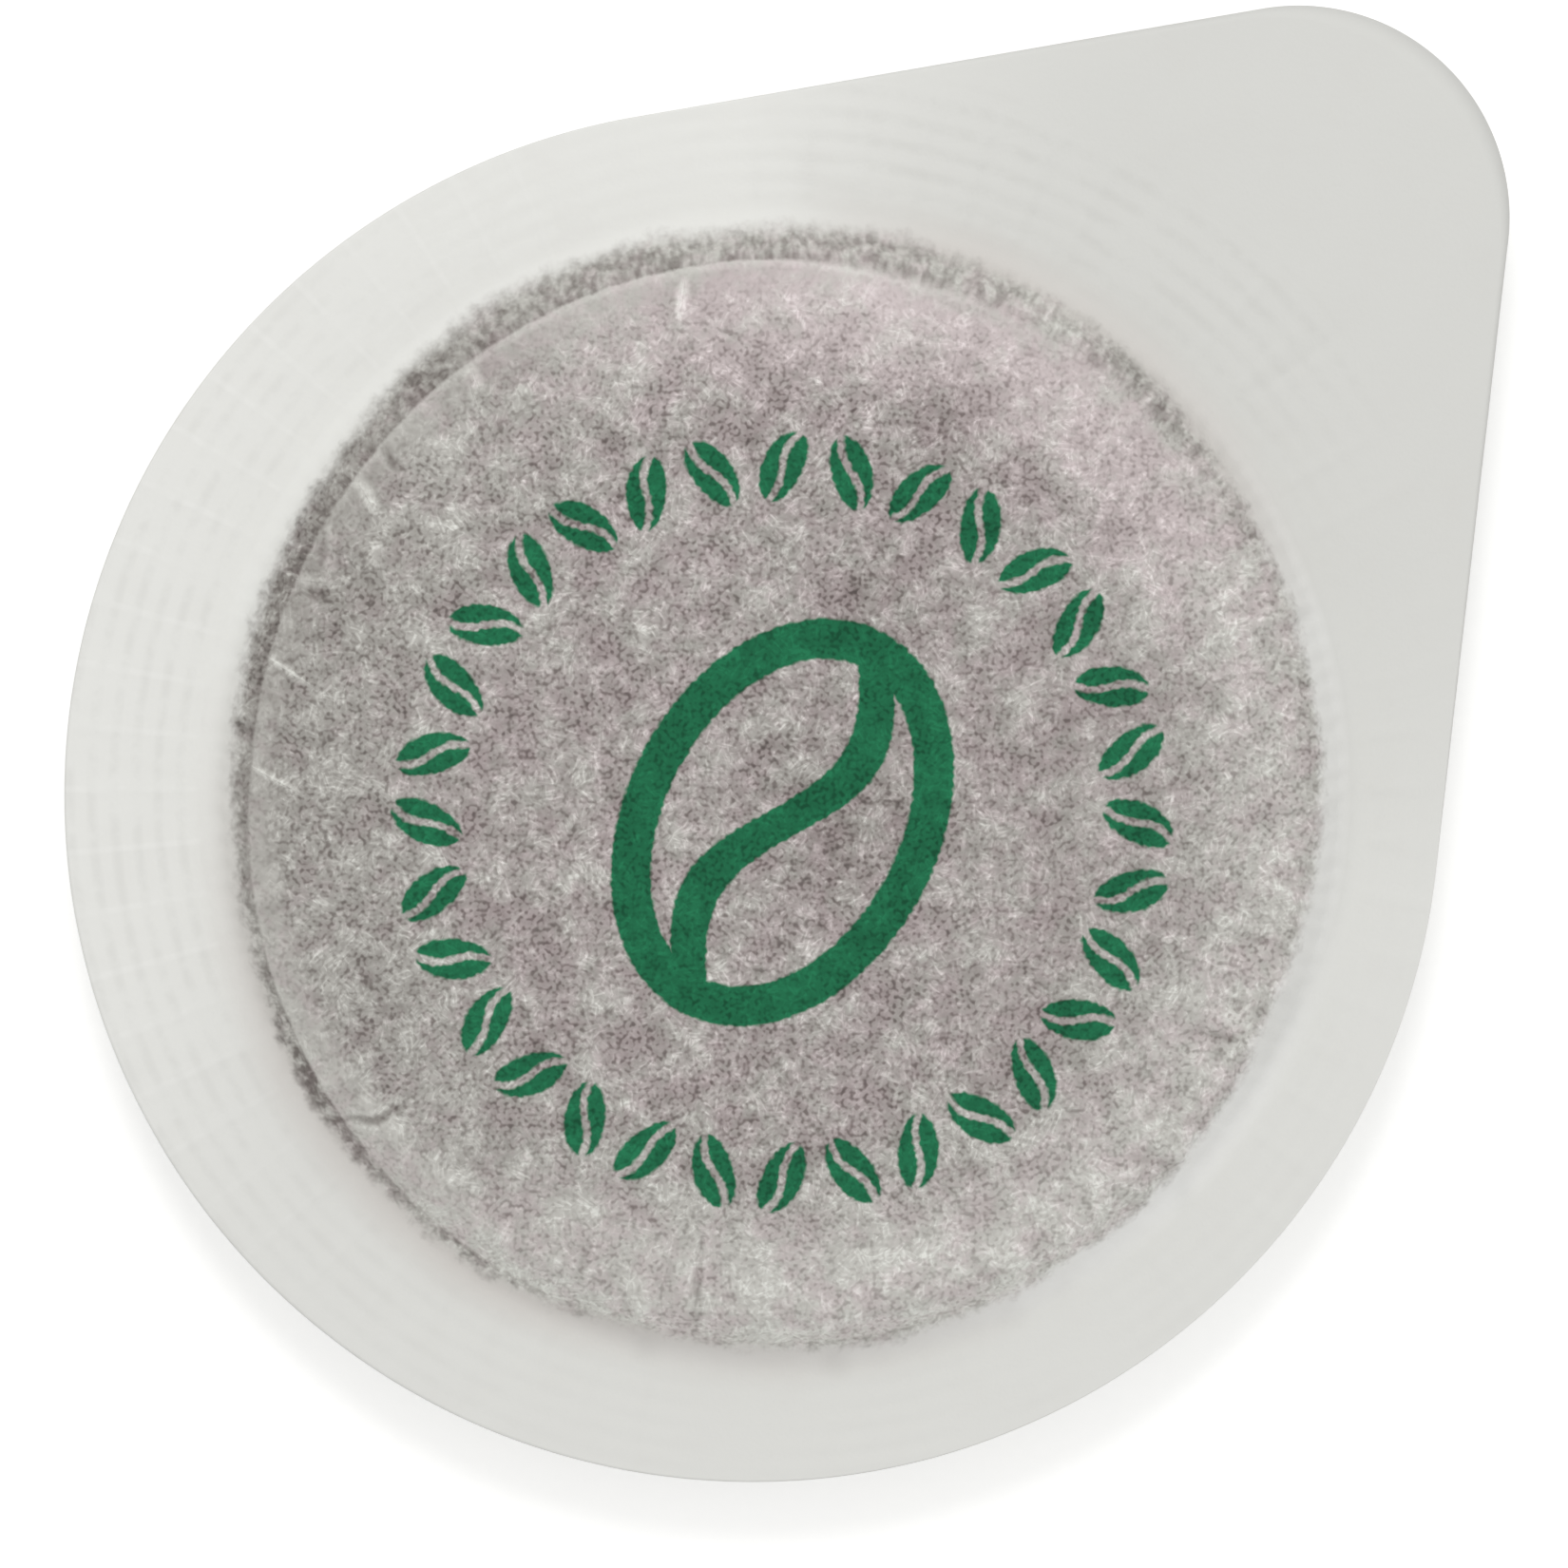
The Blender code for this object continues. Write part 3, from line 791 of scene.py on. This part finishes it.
    # Close to the edge the paper leaves the coffee, so it is lighter there, with painted light that
    # changes by bearing on top of that
    level = {label: value / rampLevels for label, value in shoulderLiftAndPaintedLight.items()}
    steep = put(vector, (bearing, compass(90)), **dot)
    steep = put("MULTIPLY", (steep, steep))
    light = put(vector, (bearing, (level["right"], level["up"], 0)), **dot)
    light = put("MULTIPLY_ADD", (steep, level["upright"], light))
    light = put("ADD", (light, level["all"]))

    # The line of caught grounds round the wall, with painted shade in it, sharp on its inner side
    # where the paper turns down, but not at the top right
    band = put("MULTIPLY_ADD", (grain, 0.25, inner))
    band = put("MULTIPLY_ADD", (share["vagueBand"], -0.25, band))
    start, full = (put("MULTIPLY_ADD", (share["vagueBand"], change, place))
                   for change, place in zip((-1.0, 0.5), onWall["grounds"]))
    band = put(remap, (band, start, full), **smooth)
    clear = put("SUBTRACT", (1.0, band))
    # It thins to a row of dots where the wall is lowest
    dots = put("MULTIPLY_ADD", (mottle, 0.5, grain))
    dots = put(remap, (dots, 0.12, -0.10, 0.3, 1.6))
    dots = put(mix, {0: share["dottedBand"], 2: 1.0, 3: dots})
    deep = put("MULTIPLY", (turn[2], -100 / rampLevels, band, dots))

    # Near the edge the texture is smoother, most at the top and the left
    top = put("MULTIPLY", (share["smoothBand"], band))
    still = put("MULTIPLY", (share["smooth"], clear))
    still = put("ADD", (still, share["smoothLeft"], top))
    calm = put("MULTIPLY", (steep, share["smoothUpright"]))
    calm = put("MULTIPLY_ADD", (calm, -0.3, 1.0))
    calm = put("SUBTRACT", (calm, share["smoothRight"], still))

    # Fine crimps down the wall, with grounds caught in them
    height = put(vector, (place, (0, 0, 1.1)), operation="MULTIPLY")
    crimp = put(vector, (bearing, (64, 64, 0), height), operation="MULTIPLY_ADD")
    crimp = put(noise, {"Vector": crimp, "Scale": 1.0, "Detail": 1.0})
    crimp = put(remap, (crimp, 0.34, 0.66, 1.0, -1.0))
    caught = put("MULTIPLY", (share["caught"], band))
    crimp = put("MULTIPLY", (crimp, caught))

    # A painted highlight: a pale line inside the band
    pale = put(remap, (inner, *onWall["pale"]), **smooth)
    pale = put("MULTIPLY", (pale, clear, share["highlightLine"]))

    tone = put("MULTIPLY_ADD", (texture, calm, filterPaper["tone"]))
    tone = put("MULTIPLY_ADD", (light, share["shoulder"], tone))
    # Painted light on the wall, lifting the shade of its slope
    tone = put("MULTIPLY_ADD", (share["rim"], 20 / rampLevels, tone))
    tone = put("ADD", (tone, deep, crimp, pale, share["lightLeft"]))

    # Broad soft patches
    for right, up, reach, levels in softPatches:
        away = put(vector, (plan, (right, up, 0)), output="Value", operation="DISTANCE")
        patch = put(remap, (away, 0.0, reach, levels / rampLevels, 0.0), interpolation_type="SMOOTHERSTEP")
        tone = put("ADD", (tone, patch))

    # A pleat holds the paper off the coffee, and so does a raised crease. The crease levels carry
    # painted highlight along raised creases and painted fold shadow along pressed ones
    for label, strength in (("lift", 0.04), ("crease", 1 / rampLevels)):
        stored = put("ShaderNodeAttribute", output="Fac", attribute_name=label)
        tone = put("MULTIPLY_ADD", (stored, strength, tone))

    # The colour of that tone, tinted pinkish or greyish
    coffee = put("ShaderNodeValToRGB", (tone,))
    last = len(filterPaper["grounds"]) - 1
    fillRamp(coffee.node.color_ramp,
             [(index / last, linear(code)) for index, code in enumerate(filterPaper["grounds"])])
    tint = {"Vector": grounds, "Scale": 1 / filterPaper["tintSize"], "Detail": 3.0, "Roughness": 0.7}
    tint = put(remap, (put(noise, tint), 0.36, 0.64, 0.0, 0.95))
    for part, strength in ((share["grey"], 0.30), (share["greyLeft"], 0.25)):
        tint = put("MULTIPLY_ADD", (part, strength, tint))
    rosy = put("MULTIPLY", (share["rosy"], share["rosyEnd"]))
    tint = put("MULTIPLY_ADD", (rosy, -0.7, tint), use_clamp=True)
    tint = {0: tint, 6: linear(filterPaper["pinkish"]), 7: linear(filterPaper["greyish"])}
    tint = put(mix, tint, **inColour)
    coffee = put(mix, {0: 1.0, 6: coffee, 7: tint}, blend_type="MULTIPLY", **inColour)

    # The flange: pale, with painted light on one side, painted light at the foot of the wall where it
    # faces the light least, and painted shade beside the coffee
    bright = put(vector, (plan, compass(140)), **dot)
    bright = put(remap, (bright, 2.0, 17.0), **smooth)
    lit = put("MAXIMUM", (share["litBelow"], share["litRight"]))
    below = put("ADD", (share["shadeBelow"], share["shadeTab"]))
    near = put(remap, (edge, *onWall["shade"], 1.0, 0.0), **smooth)
    near = put("MULTIPLY", (near, below))
    near = put("MULTIPLY_ADD", (mottle, 0.25, near), use_clamp=True)

    # The rings of the sealing die press the paper thinner, which greys it in short lengths, and
    # painted shade of their ribs is in that grey too: on the far side from the tab, and, a little
    # wider apart, where the tab begins
    dashed = put("MULTIPLY_ADD", (grain, 0.6, mottle))
    dashed = put(remap, (dashed, -0.12, 0.12, 0.2, 1.4))
    dashed = put("MULTIPLY", (dashed, share["die"], share["dieEnd"]))
    pressed = 0.0
    for label, spacing, first in (("rings", relief["Rib Spacing"], 0.22), ("ringsTab", 1.0, 0.1)):
        wave = put("MULTIPLY_ADD", (radius, math.tau / spacing, -math.tau * first / spacing))
        ring = put(remap, (put("COSINE", (wave,)), -0.4, 1.0))
        ring = put("MULTIPLY", (ring, share[label]))
        pressed = put("MULTIPLY_ADD", (ring, dashed, pressed))

    # Its notches leave fine pale ticks across them
    notches = round(math.tau * relief["Rib Band Start"] / relief["Notch Spacing"])
    tick = put("COSINE", (put("MULTIPLY", (around, math.tau * notches)),))
    tick = put(remap, (tick, 0.90, 1.0))
    tick = put("MULTIPLY", (tick, dashed, share["ticks"]))

    # The flange's colours over each other: painted light and painted shade, the die's rings, the ticks, and
    # painted shade beside the coffee
    colour = linear(filterPaper["flangeShadedSide"])
    for factor, shade in ((bright, "flange"), (share["tab"], "flangeTabShade"), (lit, "flangePaintedLightAndTicks"),
                          (pressed, "flangePressedAndShaded"), (tick, "flangePaintedLightAndTicks"), (near, "flangeShade")):
        colour = put(mix, {0: factor, 6: colour, 7: linear(filterPaper[shade])}, **inColour)
    colour = put(mix, {0: shows, 6: colour, 7: coffee}, **inColour)

    if withPrint:
        ink = printMask(put, plan, place)
        worn = put(remap, (texture, -0.34, 0.26))
        green = put(mix, {0: worn, 6: linear(printed["inkDark"]), 7: linear(printed["ink"])}, **inColour)
        colour = put(mix, {0: ink, 6: colour, 7: green}, **inColour)
        sheen = put(remap, (ink, 0.0, 1.0, 0.5, 0.2))
        tree.links.new(sheen, shader.inputs["Specular IOR Level"])

    bump = put("ShaderNodeBump", {"Strength": 0.4, "Distance": 0.00004, "Height": grain})
    tree.links.new(bump, shader.inputs["Normal"])
    tree.links.new(colour, shader.inputs["Base Color"])
    return material


def printMask(put, plan, place):
    # A wreath of small coffee beans round one large bean drawn in line
    creep = put(noise, {"Vector": place, "Scale": 4.5, "Detail": 0.0}, output="Color")
    creep = put(vector, (creep, (0.5, 0.5, 0.5)), operation="SUBTRACT")
    spot = put(vector, (creep, (0.14, 0.14, 0), plan), operation="MULTIPLY_ADD")
    spot = put(vector, (spot, (*printed["middle"], 0)), operation="SUBTRACT")
    soft = printed["softness"]

    # The wreath: the angle is cut into cells, and each holds a bean that leans the other way
    # from its neighbours
    beans, ring = printed["beans"], printed["beanRing"]
    axes = put("ShaderNodeSeparateXYZ", (spot,)).node.outputs
    around = put("ARCTAN2", (axes["Y"], axes["X"]))
    cells = put("MULTIPLY_ADD", (around, beans / math.tau, beans + 0.5))
    number = put("FLOOR", (cells,))
    across = put("SUBTRACT", (put("FRACT", (cells,)), 0.5))
    across = put("MULTIPLY", (across, math.tau * ring / beans))
    along = put("SUBTRACT", (put(vector, (spot,), **length), ring))
    tilt = math.radians(printed["beanTilt"])
    lean = put("FLOORED_MODULO", (number, 2.0))
    lean = put("MULTIPLY_ADD", (lean, 2 * tilt, -tilt))
    local = put("ShaderNodeCombineXYZ", (across, along))
    local = put("ShaderNodeVectorRotate", {"Vector": local, "Angle": lean}, rotation_type="Z_AXIS")
    rim, crease = beanParts(put, local, "bean")
    body = put(remap, (rim, -soft, soft, 1.0, 0.0), **smooth)
    slit = put(remap, (crease, printed["beanSlit"] - soft, printed["beanSlit"] + soft), **smooth)
    wreath = put("MULTIPLY", (body, slit))

    # The large bean: its outline and its crease, in strokes of one width
    turned = {"Vector": spot, "Angle": math.radians(-printed["bigTilt"])}
    local = put("ShaderNodeVectorRotate", turned, rotation_type="Z_AXIS")
    rim, crease = beanParts(put, local, "big")
    inside = put("MAXIMUM", (rim, crease))
    rim = put("ABSOLUTE", (rim,))
    line = put("MINIMUM", (rim, inside))
    line = put(remap, (line, printed["stroke"] - soft, printed["stroke"] + soft, 1.0, 0.0), **smooth)
    return put("MAXIMUM", (wreath, line))


def beanParts(put, local, size):
    # How far a spot is outside a bean's rim, and how far it is from the crease down its middle
    halfWidth, halfLength, swing = (printed[size + part] for part in ("HalfWidth", "HalfLength", "Swing"))
    ratio = put(vector, (local, (1 / halfWidth, 1 / halfLength, 0)), operation="MULTIPLY")
    ratio = put(vector, (ratio,), **length)
    steep = put(vector, (local, (1 / halfWidth ** 2, 1 / halfLength ** 2, 0)), operation="MULTIPLY")
    steep = put(vector, (steep,), **length)
    steep = put("MAXIMUM", (steep, 0.001))
    rim = put("SUBTRACT", (ratio, 1.0))
    rim = put("MULTIPLY", (rim, ratio))
    rim = put("DIVIDE", (rim, steep))
    axes = put("ShaderNodeSeparateXYZ", (local,)).node.outputs
    bend = put("SINE", (put("MULTIPLY", (axes["Y"], math.pi / halfLength)),))
    crease = put("MULTIPLY_ADD", (bend, -swing, axes["X"]))
    return rim, put("ABSOLUTE", (crease,))


# Ground roasted coffee, pressed: near black brown, dull, of grains from 0.2 to 0.5 mm
pressedCoffee = {"dark": "#1c110b", "light": "#5a3a26", "grain": 0.35, "roughness": 0.95}


def coffeeMaterial():
    material, tree, put = startMaterial("pressedGroundCoffee")
    shader = tree.nodes["Principled BSDF"]
    shader.inputs["Roughness"].default_value = pressedCoffee["roughness"]
    place = put("ShaderNodeTexCoord", output="Object")
    place = put("ShaderNodeMapping", {"Vector": place, "Scale": (1000, 1000, 1000)})
    grains = {"Vector": place, "Scale": 1 / pressedCoffee["grain"]}
    grains = put("ShaderNodeTexVoronoi", grains).node.outputs
    shade = put("ShaderNodeSeparateColor", (grains["Color"],))
    colour = {0: shade, 6: linear(pressedCoffee["dark"]), 7: linear(pressedCoffee["light"])}
    tree.links.new(put(mix, colour, **inColour), shader.inputs["Base Color"])
    bump = {"Strength": 0.8, "Distance": 0.0001, "Height": grains["Distance"]}
    tree.links.new(put("ShaderNodeBump", bump), shader.inputs["Normal"])
    return material


tree = reliefTree()
creases = lineMesh("creases", creaseLines)
nothing = lineMesh("nothing", [])

printedSheet = sheetMesh("printedSheet", 1, sheetShape, upperCup)
printedPaper = paperMaterial("printedFilterPaper", True, 2.0)
applied(printedSheet, tree, {**relief, "Paper": printedPaper, "Creases": creases})
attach(printedSheet, "root")
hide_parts("upper_paper")
print("printed sheet:", len(printedSheet.data.polygons), "faces")

plainSheet = sheetMesh("plainSheet", -1, sheetShape, lowerCup)
plainPaper = paperMaterial("plainFilterPaper", False, 7.0)
applied(plainSheet, tree, {**relief, "Paper": plainPaper, "Creases": nothing})
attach(plainSheet, "root")
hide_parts("lower_paper")
for drawn in (creases, nothing):
    bpy.data.objects.remove(drawn)
print("plain sheet:", len(plainSheet.data.polygons), "faces")

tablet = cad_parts["coffee_tablet"]
tablet.data.materials.clear()
tablet.data.materials.append(coffeeMaterial())
print("coffee tablet dressed")


# The floor: plain white card, which the camera sees as white, with the pod's shadow kept on it
floorSheet = {"halfWidth": 900, "colour": "#e6e6e4", "glow": 0.42}


def layFloor():
    half = floorSheet["halfWidth"] * mm
    corners = [(-half, -half, 0), (half, -half, 0), (half, half, 0), (-half, half, 0)]
    mesh = bpy.data.meshes.new("floor")
    mesh.from_pydata(corners, [], [(0, 1, 2, 3)])
    material, tree, put = startMaterial("whiteCard")
    tree.nodes.clear()
    card = put("ShaderNodeBsdfDiffuse", (linear(floorSheet["colour"]),))
    path = put("ShaderNodeLightPath").node.outputs
    seen = (path["Is Camera Ray"], path["Is Glossy Ray"], path["Is Transmission Ray"])
    seen = put("ADD", seen, use_clamp=True)
    glow = put("MULTIPLY", (seen, floorSheet["glow"]))
    white = put("ShaderNodeEmission", {"Strength": glow})
    both = put("ShaderNodeAddShader", (card, white))
    tree.links.new(both, tree.nodes.new("ShaderNodeOutputMaterial").inputs["Surface"])
    mesh.materials.append(material)
    floor = placed("floor", mesh)


# Plain soft light: a pale room and one wide lamp above the upper left of the picture
studio = {"room": 0.76, "lampWatts": 0.55, "lampSize": 130}

# How the lamp and the camera hang over the pod: how far off, and how far from straight above
# towards which bearing in the picture
lampHangs = {"distance": 420, "lean": 30, "bearing": 97}
cameraHangs = {"distance": 348, "lean": 2, "bearing": 120}
view = {
    "lens": 199.9,
    "sensor": 36,
    "clipStart": 10,
    "aimRight": 1.23,             # from the middle of the round flange to the picture's middle
    "aimUp": 0.48,
}


def pictureAxes():
    turn = math.radians(-tabBearing)
    right = Vector((math.cos(turn), math.sin(turn), 0))
    return right, Vector((-right.y, right.x, 0))


def hangOver(target, data, hangs):
    # Puts a lamp or a camera in its place, looking at the target, with the picture's way up
    right, up = pictureAxes()
    east, north, _ = compass(hangs["bearing"])
    lean = math.radians(hangs["lean"])
    raised = (right * east + up * north) * math.sin(lean) + Vector((0, 0, math.cos(lean)))
    place = target + raised * hangs["distance"] * mm
    back = (place - target).normalized()
    side = up.cross(back).normalized()
    holder = placed(data.name, data)
    turned = Matrix((side, back.cross(side), back)).transposed()
    holder.matrix_world = Matrix.Translation(place) @ turned.to_4x4()
    return holder


def lightAndCamera():
    world = bpy.data.worlds.new("room")
    scene.world = world
    world.use_nodes = True
    background = world.node_tree.nodes["Background"]
    background.inputs["Color"].default_value = (1, 1, 1, 1)
    background.inputs["Strength"].default_value = studio["room"]

    middle = Vector((*sheetShape["cutShift"], seamHeight + sheetShape["thickness"])) * mm
    lamp = bpy.data.lights.new("windowLight", "AREA")
    lamp.shape = "DISK"
    lamp.size = studio["lampSize"] * mm
    lamp.energy = studio["lampWatts"]
    hangOver(middle, lamp, lampHangs)

    right, up = pictureAxes()
    lens = bpy.data.cameras.new("camera")
    lens.lens = view["lens"]
    lens.sensor_width = view["sensor"]
    lens.clip_start = view["clipStart"] * mm
    target = middle + (right * view["aimRight"] + up * view["aimUp"]) * mm
    scene.camera = hangOver(target, lens, cameraHangs)


layFloor()
lightAndCamera()
scene.view_settings.view_transform = "Standard"
print("floor, light and camera set")
